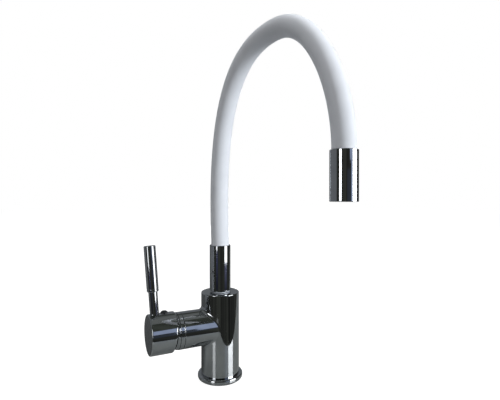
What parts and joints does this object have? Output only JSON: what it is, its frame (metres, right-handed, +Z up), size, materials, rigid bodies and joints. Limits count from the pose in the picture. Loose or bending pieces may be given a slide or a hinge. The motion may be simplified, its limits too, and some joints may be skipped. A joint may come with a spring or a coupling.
{
  "type": "kitchen mixer tap",
  "caption": "Deck-mounted kitchen mixer tap with a round column, a side lever on a horizontal arm, and a tall arched flexible hose spout ending in a cylindrical nozzle.",
  "frame": {"origin": "on the column's axis, at the flat underside that rests on the worktop", "axes": "+Z up along the column; at rest the spout reaches towards -Y, and the lever's arm points towards -X and a little towards +Y"},
  "size_m": [0.1143, 0.2319, 0.3926],
  "materials": {
    "chrome": "polished chrome plate",
    "brass": "turned brass",
    "steel": "plain stainless steel",
    "silicone": "satin white silicone",
    "rubber": "black nitrile rubber",
    "plastic": "moulded acetal",
    "ceramic": "lapped ceramic",
    "cover": "dark glossy moulding"
  },
  "bodies": {
    "body": {"base_flange": "chrome", "deck_seal": "rubber", "body_casting": "chrome", "hot_port_seal": "rubber", "cold_port_seal": "rubber", "outlet_port_seal": "rubber", "cartridge_base": "plastic", "fixed_ceramic_disc": "ceramic", "cartridge_housing": "plastic", "cartridge_nut": "brass", "shroud_ring": "chrome", "arm_shroud": "chrome"},
    "mixer_carrier": {"stem_carrier": "plastic", "stem_pin": "steel"},
    "mixing_disc": {"moving_ceramic_disc": "ceramic", "disc_driver": "plastic"},
    "handle": {"control_stem": "steel", "handle_cap": "chrome", "lever_rod": "chrome", "lever_grip": "chrome", "handle_set_screw": "steel", "set_screw_cover": "cover"},
    "spout": {"swivel_spigot": "brass", "spout_o_ring_lower": "rubber", "spout_o_ring_upper": "rubber", "spout_retaining_clip": "steel", "swivel_glide_ring": "plastic", "spout_sleeve": "chrome", "sleeve_grub_screw": "steel", "silicone_hose": "silicone", "gooseneck_core": "steel", "water_hose": "rubber", "root_ferrule": "steel"},
    "spout_tip": {"outlet_ferrule": "steel", "nozzle_connector": "brass", "nozzle_shell": "chrome", "aerator_housing": "chrome", "aerator_insert": "plastic", "aerator_screen": "steel", "aerator_seal": "rubber"}
  },
  "joints": [
    {"name": "mixer_turn", "type": "hinge", "parent": "body", "child": "mixer_carrier", "pos_m": [-0.0477, 0.01119, 0.0625], "axis": [-0.9736, 0.2284, 0], "range_deg": [-54, 46]},
    {"name": "flow_lift", "type": "hinge", "parent": "mixer_carrier", "child": "handle", "pos_m": [-0.0477, 0.01119, 0.0625], "axis": [-0.2278, -0.9712, 0.0698], "range_deg": [0, 20]},
    {"name": "disc_slide", "type": "slide", "parent": "mixer_carrier", "child": "mixing_disc", "axis": [0.0159, 0.0679, 0.9976], "range_m": [-0.0002, 0.0054]},
    {"name": "spout_swivel", "type": "hinge", "parent": "body", "child": "spout", "pos_m": [0, 0, 0], "axis": [0, 0, 1], "continuous": true},
    {"name": "hose_bend", "type": "hinge", "parent": "spout", "child": "spout_tip", "pos_m": [0, -0.115, 0.379], "axis": [-1, 0, 0], "range_deg": [-25, 40], "deforming": ["silicone_hose", "gooseneck_core", "water_hose"]}
  ],
  "couplings": [
    {"joint": "disc_slide", "follows": "flow_lift", "m_per_rad": 0.0148}
  ]
}
